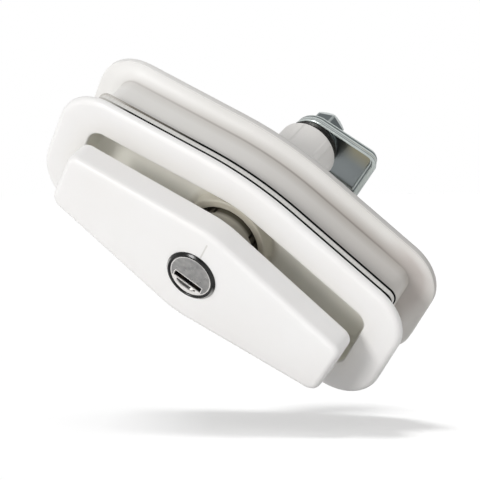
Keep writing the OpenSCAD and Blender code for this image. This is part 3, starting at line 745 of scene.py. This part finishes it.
def level(tree, where):
    """Coordinates without the handle's small turn: x, y, z and the distance from the axis."""
    back = add(tree, "ShaderNodeMapping", {"Vector": where})
    back.inputs["Rotation"].default_value = (0, -math.radians(REST_TURN), 0)
    split = add(tree, "ShaderNodeSeparateXYZ", {"Vector": back.outputs["Vector"]})
    flat = add(tree, "ShaderNodeCombineXYZ", {"X": split.outputs["X"], "Z": split.outputs["Z"]})
    far = add(tree, "ShaderNodeVectorMath", {0: flat.outputs["Vector"]}, operation="LENGTH")
    return split.outputs["X"], split.outputs["Y"], split.outputs["Z"], far.outputs["Value"]


def away(tree, value, middle=0.0):
    """How far a coordinate is from a value in millimetres."""
    return maths(tree, "ABSOLUTE", maths(tree, "SUBTRACT", value, middle * MM))


def span(tree, value, low, high, first=0.0, last=1.0):
    """A coordinate between two values in millimetres, carried over from first to last."""
    return carry(tree, value, low * MM, high * MM, first, last)


def mask(tree, *parts):
    """The product of the spans of some coordinates, each given with its limits."""
    return times(tree, *[span(tree, value, *limits) for value, limits in parts])


def band(tree, value, low, high):
    """1 where a coordinate lies between two values in millimetres."""
    middle, half = (low + high) / 2, (high - low) / 2
    return span(tree, away(tree, value, middle), half + BAND_SOFT / 2, half - BAND_SOFT / 2)


def over(tree, shader, where_one, colour):
    """Lays a second colour over the shader's own where the mask is 1."""
    link = shader.inputs["Base Color"].links[0]
    mixed = add(tree, "ShaderNodeMix", {"Factor": where_one}, data_type="RGBA")
    tree.links.new(link.from_socket, mixed.inputs[MIX_A])
    mixed.inputs[MIX_B].default_value = linear(colour)
    tree.links.new(mixed.outputs[MIX_RESULT], shader.inputs["Base Color"])


def painted_highlight(tree, shader, where_one, colour, metallic):
    """Painted highlight where the mask is 1: a colour of its own and less of a mirror than the
    rest.
    """
    over(tree, shader, where_one, colour)
    tree.links.new(carry(tree, where_one, 0, 1, 1.0, metallic), shader.inputs["Metallic"])


def moulded(name, light, dark, roughness, crease=None, reach=7.0):
    """A moulded face: a slow drift between two colours under a fine spark grain.

    Where less of the sky is open within reach, in millimetres, it takes the crease's colour as
    painted shade.
    """
    m, tree, shader, where = material(name, light, roughness)
    tint(tree, shader, grain(tree, where, DRIFT_MM, 2), dark, light)
    if crease:
        sky = add(tree, "ShaderNodeAmbientOcclusion", samples=8, Distance=reach * MM)
        over(tree, shader, carry(tree, sky.outputs["AO"], SHUT, OPEN, 1.0, 0.0), crease)
    fine = grain(tree, where, SPARK_MM, 2)
    rough(tree, shader, fine, roughness - SMOOTHER, roughness + ROUGHER)
    bump(tree, shader, fine, SPARK_HIGH)
    return m, tree, shader, where


def clouded(name, colour, roughness, metallic, tints, tint_mm, shine, shine_mm, detail=3.0):
    """A finish that clouds between two tints, and in roughness between the two values of shine."""
    m, tree, shader, where = material(name, colour, roughness, metallic)
    tint(tree, shader, grain(tree, where, tint_mm, detail), *tints)
    rough(tree, shader, grain(tree, where, shine_mm), *shine)
    return m, tree, shader, where


# The limits of a span or mask below say, in mm along the part's own axes, where it is still 0 and
# where it is 1, and two more values stand in for that 0 and 1. Those of a band say between which
# two values it is 1.

# Moulded ASA, satin white: soft wide highlights, a very fine spark grain and painted shade in its
# creases.
WHITE, WHITE_DRIFT, SATIN = "#F5F4F3", "#F3F1EF", 0.38
white_asa, tree, shader, where = moulded("asa_satin_white", WHITE, WHITE_DRIFT, SATIN,
                                         crease="#F1EBDC", reach=10.0)
x, y, z, far = level(tree, where)
# Painted warm shade in the recess: inside its sloping sides and behind the bezel's face.
SIDE_SLOPE = (BEZEL[2] - BEZEL[1]) / BEZEL[0]
RECESS_SIDES, RECESS_ENDS, RECESS_BEHIND = (25, 23), (55, 53), (-FRONT + 0.4, -FRONT + 1.4)
across = maths(tree, "MULTIPLY_ADD", away(tree, x), SIDE_SLOPE, away(tree, z))
inside = mask(tree, (across, RECESS_SIDES), (away(tree, x), RECESS_ENDS))
over(tree, shader, times(tree, inside, span(tree, y, *RECESS_BEHIND)), "#F4F2E8")
# Painted shade on the boss round the stem.
BOSS_SHADE = (BOSS_R + 2.5, BOSS_R - 0.8)
over(tree, shader, span(tree, far, *BOSS_SHADE), "#CDC7B8")

# The same ASA on the handle, with the greyed index line cut into its face.
handle_asa, tree, shader, where = moulded("asa_satin_white_marked", WHITE, WHITE_DRIFT, SATIN)
x, _, z, _ = level(tree, where)
INDEX_SIDES, INDEX_FOOT, INDEX_HEAD = (0.3, 0.2), (RING_R, RING_R + 0.2), (15.0, 14.7)
line = mask(tree, (away(tree, x), INDEX_SIDES), (z, INDEX_FOOT), (z, INDEX_HEAD))
over(tree, shader, line, "#DEDCD8")

# The same ASA in the collar and neck, a shade warmer, with painted shade where its forms meet.
collar_asa, tree, shader, where = moulded("asa_satin_pale", "#EDEBE8", "#E9E7E3", 0.42,
                                          crease="#A9A39C")
x, y, z, _ = level(tree, where)
# Painted shade: the neck is in the shade, more so to the right; painted light: the cove is paler
# towards the left.
NECK_SHADE, NECK_ONLY = (-35, 50), (NECK_LEN + 0.3, NECK_LEN - 0.4)
COVE_PALE, COVE_ONLY = (-10, -50, 0, 0.6), (NECK_LEN, NECK_LEN + 1)
over(tree, shader, mask(tree, (x, NECK_SHADE), (y, NECK_ONLY)), "#D4D0CB")
over(tree, shader, mask(tree, (x, COVE_PALE), (y, COVE_ONLY)), "#F6F5F3")
# A wide and a narrow shade lie where neck and cove meet: before, behind, and colour.
MEETING_SHADES = ((4.0, 2.6, "#BDB7B0"), (0.6, 0.45, "#96908A"))
MEETING_FADE = (-50, 30, 0.25, 1.0)
fade = span(tree, x, *MEETING_FADE)
for before, behind, colour in MEETING_SHADES:
    shade = maths(tree, "MINIMUM", span(tree, y, NECK_LEN - before, NECK_LEN),
                  span(tree, y, NECK_LEN + behind, NECK_LEN))
    over(tree, shader, times(tree, shade, fade), colour)
# Painted shade: the rim of the collar is greyer than its front, fading out towards the left where
# the light comes from.
RIM_ONLY, RIM_FADE = (-COVE_END + 0.15, -COVE_END + 0.35), (-55, 15, 0.1, 1)
over(tree, shader, mask(tree, (y, RIM_ONLY), (x, RIM_FADE)), "#CDCBC8")
# The right end of the cove is shaded above a slanting line, and less so beside the rim.
SLANT, SLANT_EDGE, RIGHT_END, UPPER = (0.46, 0, 1), (48, 43.5), (40, 50), (-2, 10, 0.1, 1)
PAST_NECK, BY_RIM = (NECK_LEN - 0.4, NECK_LEN + 0.3), (-COVE_END - 0.1, -COVE_END - 1.2, 0.35, 1)
slant = along(tree, where, SLANT)
shaded = mask(tree, (slant, SLANT_EDGE), (y, PAST_NECK), (x, RIGHT_END), (z, UPPER), (y, BY_RIM))
over(tree, shader, shaded, "#CFC8C3")
# Painted shade: the cove's front darkens beside the neck, towards the right.
BY_NECK, COVE_BEGIN = (NECK_LEN + 3.2, NECK_LEN), (NECK_LEN - 0.2, NECK_LEN + 0.1)
COVE_SHADE = (5, 48, 0, 0.75)
over(tree, shader, mask(tree, (y, BY_NECK), (y, COVE_BEGIN), (x, COVE_SHADE)), "#ABA49E")

# Coated zinc casting of the barrel: pale grey, a little rougher.
COATED = 0.45
barrel_coat, _, _, _ = moulded("coated_zinc_casting", "#F4F2EF", "#EEEBE7", COATED)

# Moulded stem, pale grey, with painted shade where it enters the bush.
stem_coat, tree, shader, where = moulded("coated_stem", "#D2CEC4", "#CBC7BC", COATED)
_, y, _, _ = level(tree, where)
STEM_FOOT = (-BOSS_FACE - 1.5, -BOSS_FACE - 0.1)
over(tree, shader, span(tree, y, *STEM_FOOT), "#6A6457")

# EPDM rubber, moulded: near black and matt, with next to no highlight.
rubber, tree, shader, where = material("epdm_black", "#0B0B0C", 0.7)
shader.inputs["Specular IOR Level"].default_value = 0.15
fine = grain(tree, where, size_mm=0.4)
tint(tree, shader, fine, "#0A0A0B", "#0D0D0D")
# Towards the left end, where the photograph is over-exposed, the seals are paler, and the rear
# one sooner.
REAR_PALE, REAR_SEAL, END_PALE = (-20, -46, 0, 0.85), (-1.2, -1.0), (-44, -51)
x, y, _, _ = level(tree, where)
over(tree, shader, mask(tree, (x, REAR_PALE), (y, REAR_SEAL)), "#958F85")
over(tree, shader, span(tree, x, *END_PALE), "#C8C5BF")
rough(tree, shader, fine, 0.6, 0.8)
bump(tree, shader, fine, height_mm=0.02)

# Closed-cell foam: soft and light, with faint upright ribs 1.3 mm apart.
foam, tree, shader, where = material("foam_band_ribbed", "#E6E4E0", 0.7)
ribs = waves(tree, where, pitch_mm=1.3, wave_type="BANDS", bands_direction="X", Distortion=2.0,
             Detail=2.0)
tint(tree, shader, ribs, "#E4E2DE", "#EAE8E4", low=0.1, high=0.9)
bump(tree, shader, ribs, height_mm=0.015)

# Bright zinc-plated steel: cool grey, clouded by the bath, smooth.
zinc, tree, shader, where = clouded("zinc_plated_steel", "#C3C9CB", 0.3, 1.0,
                                    tints=("#C3CAC8", "#DDE3E1"), tint_mm=5, detail=4,
                                    shine=(0.22, 0.42), shine_mm=1.2)
bump(tree, shader, grain(tree, where, size_mm=0.8), height_mm=0.01)
x, y, z, far = level(tree, where)
# Painted shade: the pressed web of the cam is darker than its border.
WEB_BEHIND, CAM_BEFORE = (-WEB - 0.35, -WEB - 0.1), (-CAM_BACK, -CAM_BACK - 0.05)
over(tree, shader, mask(tree, (y, WEB_BEHIND), (y, CAM_BEFORE)), "#9EA5A7")
# The web is lighter and yellower in its upper outer corner.
WEB_FACE, YELLOW_OUT, YELLOW_UP = (-WEB - 0.1, -WEB + 0.05), (6, 13), (1, 8)
yellow_corner = times(tree, band(tree, y, *WEB_FACE), span(tree, x, *YELLOW_OUT),
                 span(tree, z, *YELLOW_UP))
over(tree, shader, yellow_corner, "#BFB99B")
# Painted shade along the step inside the cam's border and over the nut, and a painted highlight on
# the nut's far end.
STEP_Y, STEP_HALF = -LIP + 0.75, (0.22, 0.12)
NUT_BEHIND, NUT_LIGHT = (-NUT_TOP - 0.1, -NUT_TOP + 0.1), (-NUT_LOW - 1.3, -NUT_LOW - 1.1)
over(tree, shader, span(tree, away(tree, y, STEP_Y), *STEP_HALF), "#727A7B")
over(tree, shader, span(tree, y, *NUT_BEHIND), "#6F7678")
over(tree, shader, span(tree, y, *NUT_LIGHT), "#E3E8E7")
# Painted highlights along the cam's border and on the corners of the nut, with a painted dark line
# between.
BORDER_OUT, DARK_LINE = (7.6, 7.9), (-CAM_BACK - 1.15, -CAM_BACK - 0.65)
BRIGHT_LINES = ((-CAM_BACK - 0.55, -CAM_BACK - 0.05), (-CAM_BACK - 1.9, -CAM_BACK - 1.25),
                (-LIP - 0.1, -LIP + 0.35))
CORNER_LINES = (CORNER_R - 0.3, CORNER_R - 0.15, 0, 0.5)
border = span(tree, far, *BORDER_OUT)
over(tree, shader, times(tree, band(tree, y, *DARK_LINE), border), "#5F6868")
lines = times(tree, border, most(tree, *[band(tree, y, *limits) for limits in BRIGHT_LINES]))
corner_lines = times(tree, span(tree, far, *CORNER_LINES), band(tree, y, -NUT_TOP, -NUT_LOW))
painted_highlight(tree, shader, most(tree, lines, corner_lines), "#D3DBD8", metallic=0.3)

# Phosphated steel of the threaded sleeve: dark grey, oily.
phosphate, _, _, _ = clouded("phosphated_steel", "#3A3A39", 0.4, 0.9, tints=("#2B2B2A", "#4A4A48"),
                             tint_mm=1.0, shine=(0.3, 0.5), shine_mm=0.6)

# Nickel-plated brass of the plug's face: soft grey mirror, with turned rings half a mm apart.
nickel, tree, shader, where = clouded("nickel_plated_turned", "#B9B8B6", 0.28, 1.0,
                                      tints=("#A09F9F", "#BAB9B7"), tint_mm=1.5, shine=(0.22, 0.38),
                                      shine_mm=0.7)
centred = add(tree, "ShaderNodeMapping", {"Vector": where})
centred.inputs["Scale"].default_value = (1, 0, 1)
turned_rings = waves(tree, centred.outputs["Vector"], pitch_mm=0.5, wave_type="RINGS",
                     rings_direction="SPHERICAL", Distortion=0.6)
bump(tree, shader, turned_rings, height_mm=0.004)
# Painted highlights on its rim, round the slot and on a crescent low on its face.
RIM_HIGHLIGHT, HIGHLIGHT_OUT, HIGHLIGHT_IN = (PLUG_R - 0.35, PLUG_R - 0.25), 0.3, 0.2
SLOT_ENDS = (SLOT_HALF + HIGHLIGHT_OUT, SLOT_HALF + HIGHLIGHT_IN)
SLOT_SIDES = (SLOT_HIGH + HIGHLIGHT_OUT, SLOT_HIGH + HIGHLIGHT_IN)
POCKET_OUT, POCKET_DOWN = (5.2, 5.4), (-SLOT_DROP - SLOT_HIGH, -SLOT_DROP - SLOT_HIGH - 0.2)
PLUG_FRONT = (-PLUG_FACE + 0.4, -PLUG_FACE + 0.3)
x, y, z, far = level(tree, where)
rim = span(tree, far, *RIM_HIGHLIGHT)
slot = mask(tree, (away(tree, x), SLOT_ENDS), (away(tree, z, -SLOT_DROP), SLOT_SIDES))
pocket = mask(tree, (far, POCKET_OUT), (z, POCKET_DOWN))
plug_highlights = times(tree, most(tree, rim, slot, pocket), span(tree, y, *PLUG_FRONT))
painted_highlight(tree, shader, plug_highlights, "#EFECE9", metallic=0.2)

# Black lacquer on the face ring: near black with soft highlights.
black_ring, tree, shader, where = clouded("black_lacquered_ring", "#191919", 0.3, 0.0,
                                          tints=("#0F0F0F", "#171716"), tint_mm=1.0,
                                          shine=(0.2, 0.28), shine_mm=0.5)
# Painted reflection: the lower half of its bevel is light grey.
BEVEL_OUT, BEVEL_DOWN = (RING_R - 0.75, RING_R - 0.6), (2.0, -1.0)
_, _, z, far = level(tree, where)
over(tree, shader, mask(tree, (far, BEVEL_OUT), (z, BEVEL_DOWN)), "#B0AFAC")

# Brass of the wafers and inserts, painted dark brown for the shade deep in the key slot.
brass, _, _, _ = clouded("brass_darkened_for_shade", "#3A3022", 0.5, 1.0, tints=("#2C251B", "#463A29"),
                         tint_mm=1.0, shine=(0.4, 0.6), shine_mm=0.6)

finishes = (
    (white_asa, [bezel], []),
    (handle_asa, [handle, rib_right, rib_left], []),
    (collar_asa, [collar], ["guide_bush"]),
    (barrel_coat, [barrel], []),
    (stem_coat, [], ["handle_stem"]),
    (rubber, [face_seal, panel_seal], ["stem_seal"]),
    (foam, [spacer], []),
    (zinc, [cam, washer, nut, stud, sleeve_foot, spring],
     ["lock_washer", "collar_screws", "stem_screws", "spring_seat", "spindle",
      "bolt_right", "bolt_left", "lock_tail", "plug_clip"]),
    (phosphate, [sleeve], ["spindle_clip", "stem_clip", "lock_housing"]),
    (nickel, [], ["lock_plug"]),
    (black_ring, [ring], []),
    (brass, [], ["key_wafers", "screw_inserts"]),
)
for finish, pieces, nodes in finishes:
    for piece in pieces:
        piece.data.materials.append(finish)
    for node in nodes:
        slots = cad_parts[node].data.materials
        slots.clear()
        slots.append(finish)

# ---------------------------------------------------------------- floor and light

# The floor's upright as the photograph shows it: the lock stands tipped in the air over it.
FLOOR_UP = Vector((-0.561, 0.514, 0.648)).normalized()
FLOOR_DROP = 57.8
FLOOR_SIZE = 4.0
FLOOR_CORNERS = ((-1, -1), (1, -1), (1, 1), (-1, 1))

side = FLOOR_UP.orthogonal().normalized()
other = FLOOR_UP.cross(side)
centre = -FLOOR_UP * FLOOR_DROP * MM
corners = [centre + side * (u * FLOOR_SIZE) + other * (v * FLOOR_SIZE) for u, v in FLOOR_CORNERS]
floor_mesh = bpy.data.meshes.new("floor")
floor_mesh.from_pydata([tuple(c) for c in corners], [], [(0, 1, 2, 3)])
floor = bpy.data.objects.new("floor", floor_mesh)
bpy.context.scene.collection.objects.link(floor)


def mix_shaders(tree, factor, first, second):
    """One shader where the factor is 0 and the other where it is 1."""
    node = add(tree, "ShaderNodeMixShader", {"Fac": factor, 1: first, 2: second})
    return node.outputs["Shader"]


# White paper: matt, so that it takes the shadow and no highlight.
paper, tree, shader, where = material("white_paper_floor", "#E6E6E6", 0.9)
shader.inputs["Specular IOR Level"].default_value = 0.0
# It glows for the camera alone, so that it comes out white and keeps the shadow.
PAPER_GLOW = 0.34
glow = add(tree, "ShaderNodeEmission", Strength=PAPER_GLOW)
both = add(tree, "ShaderNodeAddShader", {0: shader.outputs["BSDF"], 1: glow.outputs["Emission"]})
# Towards the left of the picture the shadow fades out into the white.
FADE = (-5.0, -38.0, 0, 0.86)
PICTURE_RIGHT = (0.812, 0.4936, 0.3113)
white = add(tree, "ShaderNodeEmission", Strength=1.0)
sideways = span(tree, along(tree, where, PICTURE_RIGHT), *FADE)
faded = mix_shaders(tree, sideways, both.outputs["Shader"], white.outputs["Emission"])
# From below, the paper lets the camera look through to the lock.
underside = add(tree, "ShaderNodeNewGeometry").outputs["Backfacing"]
clear = add(tree, "ShaderNodeBsdfTransparent").outputs["BSDF"]
through = mix_shaders(tree, underside, faded, clear)
eye = add(tree, "ShaderNodeLightPath").outputs["Is Camera Ray"]
seen = mix_shaders(tree, eye, shader.outputs["BSDF"], through)
tree.links.new(seen, tree.nodes["Material Output"].inputs["Surface"])
floor_mesh.materials.append(paper)

world = bpy.data.worlds.new("studio")
bpy.context.scene.world = world
world.use_nodes = True
tree = world.node_tree
background = tree.nodes["Background"]
AMBIENT = 0.48
# What the metals mirror: a dark room on the camera's side, and white paper behind and below.
MIRROR_TOWARDS, MIRROR_SPAN = (-0.35, 0.82, -0.45), (-0.75, 0.5)
MIRROR_DARK, MIRROR_BRIGHT = 0.03, 0.75
path = add(tree, "ShaderNodeLightPath")
ray = add(tree, "ShaderNodeTexCoord").outputs["Generated"]
room = carry(tree, along(tree, ray, MIRROR_TOWARDS), *MIRROR_SPAN, MIRROR_DARK, MIRROR_BRIGHT,
             interpolation_type="SMOOTHSTEP")
mirrored = add(tree, "ShaderNodeMix", {"Factor": path.outputs["Is Glossy Ray"], "B": room},
               data_type="FLOAT", A=AMBIENT)
# The camera itself sees white behind the lock.
strength = maths(tree, "MAXIMUM", path.outputs["Is Camera Ray"], mirrored.outputs["Result"])
background.inputs["Color"].default_value = (1, 1, 1, 1)
tree.links.new(strength, background.inputs["Strength"])


def sun(name, towards, strength, angle, lit):
    """A soft distant lamp that shines along towards, on the objects given."""
    data = bpy.data.lights.new(name, "SUN")
    data.energy, data.angle = strength, math.radians(angle)
    lamp = bpy.data.objects.new(name, data)
    lamp.rotation_mode = "QUATERNION"
    lamp.rotation_quaternion = Vector(towards).to_track_quat("-Z", "Y")
    bpy.context.scene.collection.objects.link(lamp)
    group = bpy.data.collections.new(name + "_lights")
    for piece in lit:
        group.objects.link(piece)
    lamp.light_linking.receiver_collection = group


# Each lamp's direction, strength and width in degrees. The second lights the floor alone, for the
# shadow, which lies in another direction than the light on the lock.
KEY_LAMP = ((0.51, 0.70, -0.50), 1.65, 18)
TOP_LAMP = ((0.624, -0.473, -0.622), 1.30, 16)
lock_pieces = [o for o in bpy.data.objects if o.type == "MESH" and o != floor]
sun("key_softbox", *KEY_LAMP, lit=lock_pieces)
sun("top_softbox", *TOP_LAMP, lit=[floor])
